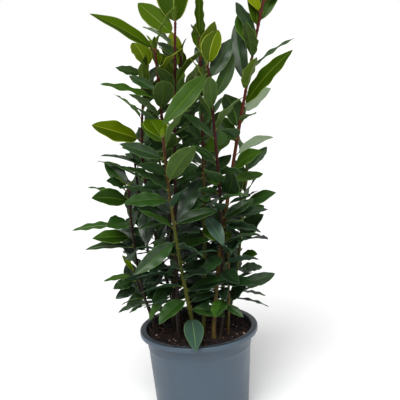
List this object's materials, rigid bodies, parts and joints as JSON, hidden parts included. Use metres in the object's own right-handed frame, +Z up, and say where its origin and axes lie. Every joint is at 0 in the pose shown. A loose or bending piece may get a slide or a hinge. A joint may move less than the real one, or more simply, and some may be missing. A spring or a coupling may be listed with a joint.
{
  "type": "potted bay laurel shrub",
  "caption": "Bushy evergreen bay laurel with upright leafy stems, growing from compost in a round tapered plastic nursery pot.",
  "frame": {"origin": "middle of the pot's flat underside, on the floor", "axes": "+Z up the plant, -Y towards the viewer of the picture, +X to that viewer's right"},
  "size_m": [0.3605, 0.2726, 0.7348],
  "materials": {
    "pot_plastic": "satin moulded blue-grey plastic",
    "compost": "dark moist peat-like compost with bark chips",
    "bark": "smooth thin bark, olive to maroon",
    "leaf_mature": "leathery dark green leaf with a waxy sheen",
    "leaf_young": "young yellow-green leaf with a waxy sheen"
  },
  "bodies": {
    "root": {"pot": "pot_plastic", "soil": "compost", "stem_left": "bark", "stem_mid_left": "bark", "stem_front": "bark", "stem_mid_back": "bark", "stem_middle": "bark", "stem_mid_right": "bark", "stem_right": "bark", "stem_right_tall": "bark", "stem_right_edge": "bark", "stem_right_front": "bark", "stem_left_edge": "bark", "stem_left_back": "bark", "stem_left_sucker": "bark", "stem_back": "bark", "stem_back_left": "bark", "stem_back_right": "bark", "stem_back_edge": "bark", "foliage_left_lower": "leaf_mature", "foliage_left_upper": "leaf_young", "foliage_mid_left_lower": "leaf_mature", "foliage_mid_left_upper": "leaf_young", "foliage_front_lower": "leaf_mature", "foliage_front_upper": "leaf_young", "foliage_mid_back_lower": "leaf_mature", "foliage_mid_back_upper": "leaf_young", "foliage_middle_lower": "leaf_mature", "foliage_middle_upper": "leaf_young", "foliage_mid_right_lower": "leaf_mature", "foliage_mid_right_upper": "leaf_young", "foliage_right_lower": "leaf_mature", "foliage_right_upper": "leaf_young", "foliage_right_tall_lower": "leaf_mature", "foliage_right_tall_upper": "leaf_young", "foliage_right_edge": "leaf_mature", "foliage_right_front": "leaf_mature", "foliage_left_edge": "leaf_mature", "foliage_left_back": "leaf_mature", "foliage_left_sucker": "leaf_mature", "foliage_back_lower": "leaf_mature", "foliage_back_upper": "leaf_young", "foliage_back_left": "leaf_mature", "foliage_back_right": "leaf_mature", "foliage_back_edge": "leaf_mature"}
  },
  "joints": []
}
